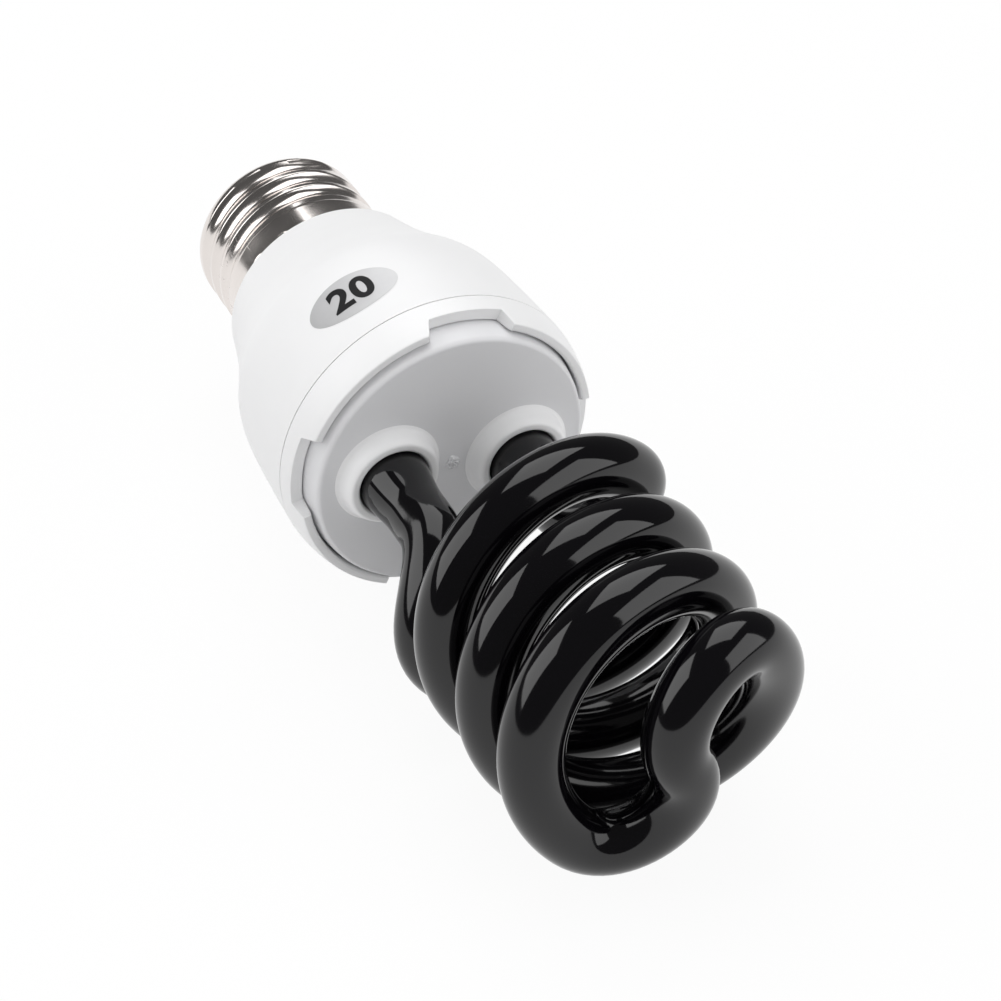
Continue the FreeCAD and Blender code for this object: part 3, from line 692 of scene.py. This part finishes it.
# Height from the seam to each edge of its slit, and the slit's depth
SEAM_SLIT = 0.09 * MM
SEAM_DEPTH = 0.8 * MM
NECK_EDGE_ROUND = 0.35 * MM
NECK_EDGE_WIDTH = 0.6 * MM
INNER_WALL_END = -35.7 * MM


def body_outline():
    """The outside of the body from its neck to the seam, as radius and height."""
    shoulder = through(section(SHOULDER), SHOULDER_STEPS)
    neck_edge = Vector((NECK_RADIUS, NECK))
    start = Vector((NECK_RADIUS - NECK_EDGE_WIDTH, NECK))
    neck = rounded([start, neck_edge, shoulder[0]], NECK_EDGE_ROUND, 5)
    slit = SEAM - SEAM_SLIT
    slit_wall = [Vector((HOUSING_RADIUS, slit)), Vector((HOUSING_RADIUS - SEAM_DEPTH, slit))]
    return neck[:-1] + shoulder + slit_wall


def body_section():
    """The body's closed section: outside, inside, floor of the neck and the cap's spigot."""
    outside = body_outline()
    inside = [Vector((point.x - HOUSING_WALL, point.y))
              for point in outside if point.y > INNER_WALL_END]
    floor = NECK + HOUSING_WALL
    inner_neck = [Vector((NECK_RADIUS - HOUSING_WALL, floor))]
    spigot = [Vector((SPIGOT_BORE_RADIUS, floor)), Vector((SPIGOT_BORE_RADIUS, SPIGOT_END)),
              Vector((SPIGOT_RADIUS, SPIGOT_END)), Vector((SPIGOT_RADIUS, NECK))]
    return outside + inside[::-1] + inner_neck + spigot


def body_radius(height):
    """The body's outside radius at a height, between the kink and the seam."""
    outline = body_outline()
    for low, high in zip(outline, outline[1:]):
        if low.y <= height <= high.y and high.y > low.y:
            return low.x + (high.x - low.x) * (height - low.y) / (high.y - low.y)
    return HOUSING_RADIUS


# The ring round the plate, with its notches

RING_FRONT = -1.1 * MM
RING_FRONT_RADIUS = 21.75 * MM
RING_BORE_RADIUS = 20.55 * MM
RING_BELLY = 0.285 * MM
RING_EDGE_ROUND = 0.45 * MM
RING_BACK = -6.5 * MM
RING_LEDGE_WIDTH = 1.5 * MM
RING_LEDGE_HEIGHT = 1.2 * MM
RING_SPIGOT_INSET = 1.6 * MM
NOTCH_FLOOR = -3.5 * MM
NOTCH_HALF = 5.0 * MM
NOTCH_SLOPE = 1.1 * MM
NOTCH_COUNT = 4
NOTCH_STEPS = 16
SLOPE_STEPS = 12
BETWEEN_STEPS = 36
RING_WALL_STEPS = 12


def ring_angles():
    """Angles round the ring, close together at the sides of its notches."""
    quarter = 2 * math.pi / NOTCH_COUNT
    edge = NOTCH_HALF / RING_BORE_RADIUS
    slope = NOTCH_SLOPE / RING_BORE_RADIUS
    angles = []
    for notch in range(NOTCH_COUNT):
        middle = notch * quarter
        start, end = middle + edge + slope, middle + quarter - edge - slope
        angles += [middle - edge + 2 * edge * i / NOTCH_STEPS for i in range(NOTCH_STEPS)]
        angles += [middle + edge + slope * i / SLOPE_STEPS for i in range(SLOPE_STEPS)]
        angles += [start + (end - start) * i / BETWEEN_STEPS for i in range(BETWEEN_STEPS)]
        angles += [end + slope * i / SLOPE_STEPS for i in range(SLOPE_STEPS)]
    return angles


def ring_front(angle):
    """How high the ring's front stands at an angle: lower in a notch."""
    quarter = 2 * math.pi / NOTCH_COUNT
    away = abs((angle + quarter / 2) % quarter - quarter / 2) * RING_BORE_RADIUS
    share = min(max((away - NOTCH_HALF) / NOTCH_SLOPE, 0.0), 1.0)
    return NOTCH_FLOOR + (RING_FRONT - NOTCH_FLOOR) * (0.75 * share + 0.25 * ease(share))


def ring_outline(front):
    """The ring's section up to a given front, always with as many points."""
    foot = SEAM + SEAM_SLIT
    wall = []
    taper = HOUSING_RADIUS - RING_FRONT_RADIUS
    for i in range(RING_WALL_STEPS + 1):
        height = foot + (front - foot) * i / RING_WALL_STEPS
        share = (height - foot) / (RING_FRONT - foot)
        belly = 4 * share * (1 - share) * (RING_BELLY - taper / 2)
        wall.append(Vector((HOUSING_RADIUS - taper * share - belly, height)))
    ledge_bore = RING_BORE_RADIUS - RING_LEDGE_WIDTH
    ledge_back = RING_BACK - RING_LEDGE_HEIGHT
    spigot = HOUSING_RADIUS - RING_SPIGOT_INSET
    slit_floor = HOUSING_RADIUS - SEAM_DEPTH
    inner = [Vector(corner) for corner in (
        (RING_BORE_RADIUS, front), (RING_BORE_RADIUS, RING_BACK), (ledge_bore, RING_BACK),
        (ledge_bore, ledge_back), (spigot, ledge_back), (spigot, SEAM), (slit_floor, SEAM),
        (slit_floor, foot))]
    edge = rounded([wall[-2], wall[-1], inner[0], inner[1]], RING_EDGE_ROUND, 5)
    return wall[:-1] + edge[1:-1] + inner[1:]


def ring_rows():
    """Rings of points along the ring's section, each at every angle."""
    angles = ring_angles()
    columns = [ring_outline(ring_front(angle)) for angle in angles]
    rows = []
    for i in range(len(columns[0])):
        rows.append([Vector((column[i].x * math.cos(a), column[i].x * math.sin(a), column[i].y))
                     for column, a in zip(columns, angles)])
    return rows


class LAMP_OT_housing(bpy.types.Operator):
    """Makes the smooth moulded body and the notched ring at its front"""
    bl_idname = "lamp.housing"
    bl_label = "Housing"

    def execute(self, context):
        colours = context.scene.lamp_colours
        plastic = satin_plastic("white_plastic", colours.plastic)
        piece = turned("housing_body", body_section(), BODY_COLUMNS)
        dress(piece, plastic)
        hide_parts("upper_housing")
        ring = skin("ring_body", ring_rows(), joined=True)
        dress(ring, plastic)
        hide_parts("lock_ring")
        return {"FINISHED"}


# The plate that carries the glass

PLATE_FACE_RADIUS = 19.55 * MM
PLATE_RADIUS = 19.95 * MM
PLATE_FOOT_RADIUS = 20.45 * MM
PLATE_FOOT = -3.2 * MM
PLATE_BACK = -6.4 * MM
PLATE_WALL = 1.6 * MM
PLATE_CENTRE_RADIUS = 0.4 * MM
PLATE_EDGE_DROP = 0.5 * MM
PLATE_EDGE_ROUND = 0.3 * MM
PLATE_COLUMNS = 200
# Radius and height in millimetres, from the bore over the rim to the foot
COLLAR_OUTLINE = ((5.08, -0.5), (5.08, 2.28), (5.38, 2.6), (6.3, 2.6), (6.75, 1.9),
                  (7.25, 0.22), (7.8, 0.0), (7.8, -0.5))
COLLAR_EDGE_ROUND = 0.32 * MM
COLLAR_COLUMNS = 96
PIP_RADIUS = 1.05 * MM
PIP_HEIGHT = 0.62 * MM
PIP_LUMPS = 0.13
PIP_LIFT = 1.2
PIP_RINGS = 9
PIP_COLUMNS = 28
PIP_FOOT = -0.1 * MM


def plate_outline():
    """The plate's face, its edge that widens towards the ring, and its skirt."""
    bore = PLATE_FOOT_RADIUS - PLATE_WALL
    corners = ((PLATE_CENTRE_RADIUS, 0.0), (PLATE_FACE_RADIUS, 0.0),
               (PLATE_RADIUS, -PLATE_EDGE_DROP), (PLATE_FOOT_RADIUS, PLATE_FOOT),
               (PLATE_FOOT_RADIUS, PLATE_BACK), (bore, PLATE_BACK),
               (bore, -PLATE_WALL), (PLATE_CENTRE_RADIUS, -PLATE_WALL))
    return rounded([Vector(corner) for corner in corners], PLATE_EDGE_ROUND, 5)


def collar(name, place):
    """One conical collar with a thick rounded rim, which a leg of the glass stands in."""
    middle = Vector((place, 0, 0))
    rings = [[point + middle for point in ring_points(corner.x, corner.y, COLLAR_COLUMNS)]
             for corner in rounded(section(COLLAR_OUTLINE), COLLAR_EDGE_ROUND, 6)]
    return skin(name, rings, joined=True)


def moulding_pip():
    """The rough little stub where the mould was filled."""
    rings = []
    for i in range(PIP_RINGS):
        share = 1 - i / PIP_RINGS
        height = PIP_HEIGHT * (1 - share**3)
        ring = ring_points(PIP_RADIUS * share, height, PIP_COLUMNS)
        for k, point in enumerate(ring):
            turn = 2 * math.pi * k / PIP_COLUMNS
            rough = PIP_LUMPS * (math.sin(5 * turn + i) + math.sin(3 * turn - 2 * i))
            point.x *= 1 + rough
            point.y *= 1 + rough
            point.z += PIP_HEIGHT * PIP_LIFT * rough * ease(i / 4)
        rings.append(ring)
    base = ring_points(PIP_RADIUS * 1.05, PIP_FOOT, PIP_COLUMNS)
    return skin("moulding_pip", [base] + rings, capped=(True, True))


class LAMP_OT_plate(bpy.types.Operator):
    """Makes the plate under the glass with its collars and pip"""
    bl_idname = "lamp.plate"
    bl_label = "Plate"

    def execute(self, context):
        colours = context.scene.lamp_colours
        # The plate takes the darkened plate colour, a painted shade
        plastic = satin_plastic("plate_plastic_painted_shade", colours.plate, 0.48)
        plate = turned("plate_face", plate_outline(), PLATE_COLUMNS)
        dress(plate, plastic)
        # The collars take the white plastic lightened, a painted light that makes them brighter
        # than the body
        painted_light_plastic = satin_plastic("collar_plastic_painted_light", scaled(colours.plastic, 1.06), 0.4)
        for name, place in (("collar_one", LEG_PLACE), ("collar_two", -LEG_PLACE)):
            dress(collar(name, place), painted_light_plastic)
        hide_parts("tube_plate")
        pip = moulding_pip()
        # The pip takes the plate's painted shade as well
        dress(pip, satin_plastic("pip_plastic_painted_shade", colours.plate, 0.2))
        return {"FINISHED"}


# The print on the body

PRINT_HEIGHT_PLACE = -14.8 * MM
PRINT_ANGLE = math.radians(-60)
PRINT_LIFT = 0.03 * MM
OVAL_RINGS = 12
OVAL_COLUMNS = 72
# Size of the digits as a share of the oval's height, extra thickness of a stroke, and spacing
DIGIT_SHARE = 0.78
STROKE_EXTRA = 0.22 * MM
DIGIT_SPACING = 1.08


def on_body(x, y, lift):
    """Wraps a flat point onto the body: x is the reading direction, y points to the cap."""
    height = PRINT_HEIGHT_PLACE - y
    radius = body_radius(height) + lift
    angle = PRINT_ANGLE - x / HOUSING_RADIUS
    return Vector((radius * math.cos(angle), radius * math.sin(angle), height))


def printed_oval(sizes):
    """The oval's ground, as rings of a flat ellipse laid on the body."""
    shape = bmesh.new()
    centre = shape.verts.new(on_body(0, 0, PRINT_LIFT))
    inner = None
    for step in range(1, OVAL_RINGS + 1):
        share = step / OVAL_RINGS
        ring = []
        for k in range(OVAL_COLUMNS):
            angle = 2 * math.pi * k / OVAL_COLUMNS
            x = sizes.print_width / 2 * share * math.cos(angle)
            y = sizes.print_height / 2 * share * math.sin(angle)
            ring.append(shape.verts.new(on_body(x, y, PRINT_LIFT)))
        for k in range(OVAL_COLUMNS):
            j = (k + 1) % OVAL_COLUMNS
            if inner:
                shape.faces.new((inner[k], ring[k], ring[j], inner[j]))
            else:
                shape.faces.new((centre, ring[k], ring[j]))
        inner = ring
    return place_mesh("printed_oval", shape)


def printed_number(sizes):
    """The number's strokes, cut fine enough to follow the body."""
    text = bpy.data.curves.new("number", "FONT")
    text.body = str(sizes.number)
    text.size = sizes.print_height * DIGIT_SHARE
    text.align_x = "CENTER"
    text.align_y = "CENTER"
    text.resolution_u = 8
    text.offset = STROKE_EXTRA
    text.space_character = DIGIT_SPACING
    holder = bpy.data.objects.new("number", text)
    bpy.context.scene.collection.objects.link(holder)
    bpy.context.view_layer.update()
    flat = bpy.data.meshes.new_from_object(holder)
    bpy.data.objects.remove(holder)
    shape = bmesh.new()
    shape.from_mesh(flat)
    bpy.data.meshes.remove(flat)
    bmesh.ops.triangulate(shape, faces=shape.faces)
    bmesh.ops.subdivide_edges(shape, edges=shape.edges, cuts=3, use_grid_fill=True)
    for vertex in shape.verts:
        vertex.co = on_body(vertex.co.x, vertex.co.y, PRINT_LIFT * 2)
    return place_mesh("printed_number", shape)


def shaded_print(name, colour, sizes):
    """Silver-grey ink that runs from dark at the start of the oval to light at its end."""
    material, tree, shader = new_finish(name, colour, 0.45)
    half = sizes.print_width / 2
    start, end = (lamp_matrix() @ on_body(x, 0, PRINT_LIFT) for x in (-half, half))
    along = (end - start).normalized()
    reach = tree.nodes.new("ShaderNodeVectorMath")
    reach.operation = "DOT_PRODUCT"
    reach.inputs[1].default_value = along
    tree.links.new(tree.nodes.new("ShaderNodeTexCoord").outputs["Object"], reach.inputs[0])
    share = add_range(tree, reach.outputs["Value"], start.dot(along), end.dot(along), 0.0, 1.0)
    grain = add_grain(tree, 1800.0, 300.0)
    speckle = add_range(tree, grain.outputs["Cloud"], 0.3, 0.7, -0.06, 0.06)
    tint(tree, shader, add_maths(tree, "ADD", share, speckle), scaled(colour, 0.62), colour)
    bump(tree, shader, grain.outputs["Height"], 0.12, 0.00003)
    return material


class LAMP_OT_print(bpy.types.Operator):
    """Prints the grey oval with its plain number on the body"""
    bl_idname = "lamp.body_print"
    bl_label = "Print"

    def execute(self, context):
        sizes = context.scene.lamp_sizes
        colours = context.scene.lamp_colours
        ground = printed_oval(sizes)
        dress(ground, shaded_print("print_ground", colours.print_ground, sizes))
        number = printed_number(sizes)
        ink = worked_finish("print_ink", colours.print_ink, 0.5, 0.0, 1400.0)
        dress(number, ink)
        return {"FINISHED"}


class LAMP_OT_tip(bpy.types.Operator):
    """Finishes the insulator, the contact and its solder"""
    bl_idname = "lamp.tip"
    bl_label = "Tip"

    def execute(self, context):
        colours = context.scene.lamp_colours
        dress_node("cap_insulator", cap_glass(colours.insulator))
        dress_node("centre_contact", nickel_plate("contact_nickel", colours.nickel, 0.22))
        dress_node("contact_solder", nickel_plate("solder", colours.solder, 0.25))
        return {"FINISHED"}


# Name, colour, roughness, metallic and grain scale of each finish inside the housing
INNER_FINISHES = {
    "tube_cement": ((0.78, 0.75, 0.68), 0.85, 0.0, 900.0),
    "tube_lead_wires": ((0.62, 0.60, 0.58), 0.3, 1.0, 1500.0),
    "circuit_board": ((0.42, 0.28, 0.12), 0.6, 0.0, 700.0),
    "electrolytic_capacitor": ((0.03, 0.03, 0.05), 0.35, 0.0, 500.0),
    "choke_core": ((0.05, 0.05, 0.055), 0.6, 0.2, 900.0),
    "choke_winding": ((0.55, 0.22, 0.07), 0.35, 0.9, 2200.0),
    "toroid": ((0.12, 0.22, 0.14), 0.5, 0.0, 800.0),
    "film_capacitors": ((0.42, 0.08, 0.04), 0.3, 0.0, 600.0),
    "transistors": ((0.02, 0.02, 0.02), 0.5, 0.0, 1200.0),
    "diodes": ((0.02, 0.02, 0.02), 0.4, 0.0, 1200.0),
    "resistors": ((0.58, 0.46, 0.30), 0.5, 0.0, 900.0),
    "fuse_resistor": ((0.16, 0.32, 0.20), 0.5, 0.0, 900.0),
    "live_wire": ((0.72, 0.72, 0.70), 0.45, 0.0, 700.0),
    "neutral_wire": ((0.05, 0.05, 0.06), 0.45, 0.0, 700.0),
}


class LAMP_OT_inner_parts(bpy.types.Operator):
    """Finishes the pieces inside the housing"""
    bl_idname = "lamp.inner_parts"
    bl_label = "Inner Parts"

    def execute(self, context):
        for node, (colour, roughness, metallic, scale) in INNER_FINISHES.items():
            dress_node(node, worked_finish(node, colour, roughness, metallic, scale))
        return {"FINISHED"}


# The stage

# Name, heading and elevation in degrees, radiance, and whether the glass and metal mirror it
SOFT_LIGHTS = (
    ("right_box", 48, 28, 1.75, True),
    ("top_box", 145, 63, 2.0, True),
    ("left_box", -113, 33, 2.25, True),
    ("overhead_fill", 0, 89, 1.1, False),
    ("front_fill", -25, 41, 0.98, False),
    ("low_fill", 0, 20, 0.35, False),
    ("rear_fill", 178, 48, 0.66, False),
)


def floor_finish(settings):
    """Pale floor that shows white, in glass and metal too, and keeps a soft shadow."""
    material = bpy.data.materials.new("pale_floor")
    material.use_nodes = True
    tree = material.node_tree
    tree.nodes.clear()
    output = tree.nodes.new("ShaderNodeOutputMaterial")
    matt = tree.nodes.new("ShaderNodeBsdfDiffuse")
    matt.inputs["Color"].default_value = (*settings.floor_colour, 1.0)
    glow = tree.nodes.new("ShaderNodeEmission")
    light_path = tree.nodes.new("ShaderNodeLightPath")
    seen = light_path.outputs["Is Camera Ray"]
    for ray in ("Is Transmission Ray", "Is Glossy Ray"):
        seen = add_maths(tree, "MAXIMUM", seen, light_path.outputs[ray])
    seen = add_maths(tree, "MULTIPLY", seen, settings.floor_glow)
    mix = tree.nodes.new("ShaderNodeMixShader")
    tree.links.new(seen, mix.inputs["Fac"])
    tree.links.new(matt.outputs["BSDF"], mix.inputs[1])
    tree.links.new(glow.outputs["Emission"], mix.inputs[2])
    tree.links.new(mix.outputs["Shader"], output.inputs["Surface"])
    return material


def lay_floor(settings):
    """A level floor under the lamp."""
    half = settings.floor_size / 2
    shape = bmesh.new()
    corners = [(-half, -half, 0), (half, -half, 0), (half, half, 0), (-half, half, 0)]
    shape.faces.new([shape.verts.new(corner) for corner in corners])
    mesh = bpy.data.meshes.new("floor")
    shape.to_mesh(mesh)
    shape.free()
    mesh.materials.append(floor_finish(settings))
    floor = bpy.data.objects.new("floor", mesh)
    bpy.context.scene.collection.objects.link(floor)


def hang_light(name, heading, elevation, radiance, mirrored, settings):
    """A square soft light that faces the lamp."""
    light = bpy.data.lights.new(name, "AREA")
    light.shape = "SQUARE"
    light.size = settings.box_side
    light.energy = radiance * math.pi * settings.box_side**2
    heading, elevation = math.radians(heading), math.radians(elevation)
    away = Vector((math.cos(elevation) * math.cos(heading), math.cos(elevation) * math.sin(heading),
                   math.sin(elevation)))
    holder = bpy.data.objects.new(name, light)
    holder.location = away * settings.box_distance
    holder.rotation_euler = away.to_track_quat("Z", "Y").to_euler()
    holder.visible_camera = False
    holder.visible_glossy = mirrored
    bpy.context.scene.collection.objects.link(holder)


def light_room(strength):
    """A dim even light from the room."""
    world = bpy.data.worlds.new("room")
    world.use_nodes = True
    world.node_tree.nodes["Background"].inputs["Color"].default_value = (1.0, 1.0, 1.0, 1.0)
    world.node_tree.nodes["Background"].inputs["Strength"].default_value = strength
    bpy.context.scene.world = world


def set_camera(settings):
    """The camera at the photograph's place."""
    data = bpy.data.cameras.new("camera")
    data.sensor_width = 36
    data.lens = settings.camera_lens
    data.clip_start = 0.01
    camera = bpy.data.objects.new("camera", data)
    camera.location = settings.camera_place
    camera.rotation_euler = settings.camera_turn
    bpy.context.scene.collection.objects.link(camera)
    bpy.context.scene.camera = camera


class LAMP_OT_stage(bpy.types.Operator):
    """Lays the floor, hangs the lights and sets the camera"""
    bl_idname = "lamp.stage"
    bl_label = "Stage"

    def execute(self, context):
        settings = context.scene.lamp_stage
        lay_floor(settings)
        for light in SOFT_LIGHTS:
            hang_light(*light, settings)
        light_room(settings.room_light)
        set_camera(settings)
        context.scene.view_settings.view_transform = "Standard"
        return {"FINISHED"}


OPERATORS = (LAMP_OT_glass_spiral, LAMP_OT_threaded_cap, LAMP_OT_housing, LAMP_OT_plate,
             LAMP_OT_print, LAMP_OT_tip, LAMP_OT_inner_parts, LAMP_OT_stage)
SETTINGS = (("lamp_sizes", LampSizes), ("lamp_colours", LampColours), ("lamp_stage", StageSettings))


class LAMP_PT_panel(bpy.types.Panel):
    """Lists the lamp's pieces and settings"""
    bl_label = "Spiral Lamp"
    bl_idname = "LAMP_PT_panel"
    bl_space_type = "VIEW_3D"
    bl_region_type = "UI"
    bl_category = "Lamp"

    def draw(self, context):
        layout = self.layout
        for operator in OPERATORS:
            layout.operator(operator.bl_idname)
        for name, group in SETTINGS:
            column = layout.column(heading=group.__doc__)
            for prop in group.__annotations__:
                column.prop(getattr(context.scene, name), prop)


def register():
    """Makes the settings, operators and panel known."""
    for name, group in SETTINGS:
        bpy.utils.register_class(group)
        setattr(bpy.types.Scene, name, bpy.props.PointerProperty(type=group))
    for operator in OPERATORS:
        bpy.utils.register_class(operator)
    bpy.utils.register_class(LAMP_PT_panel)


def unregister():
    """Takes them away again."""
    bpy.utils.unregister_class(LAMP_PT_panel)
    for operator in reversed(OPERATORS):
        bpy.utils.unregister_class(operator)
    for name, group in reversed(SETTINGS):
        delattr(bpy.types.Scene, name)
        bpy.utils.unregister_class(group)


def main():
    """Makes every piece and notes the frame's box and the dressed lamp's."""
    register()
    bpy.ops.lamp.glass_spiral()
    bpy.ops.lamp.threaded_cap()
    bpy.ops.lamp.housing()
    bpy.ops.lamp.plate()
    bpy.ops.lamp.body_print()
    bpy.ops.lamp.tip()
    bpy.ops.lamp.inner_parts()
    bpy.ops.lamp.stage()


if __name__ == "__main__":
    main()
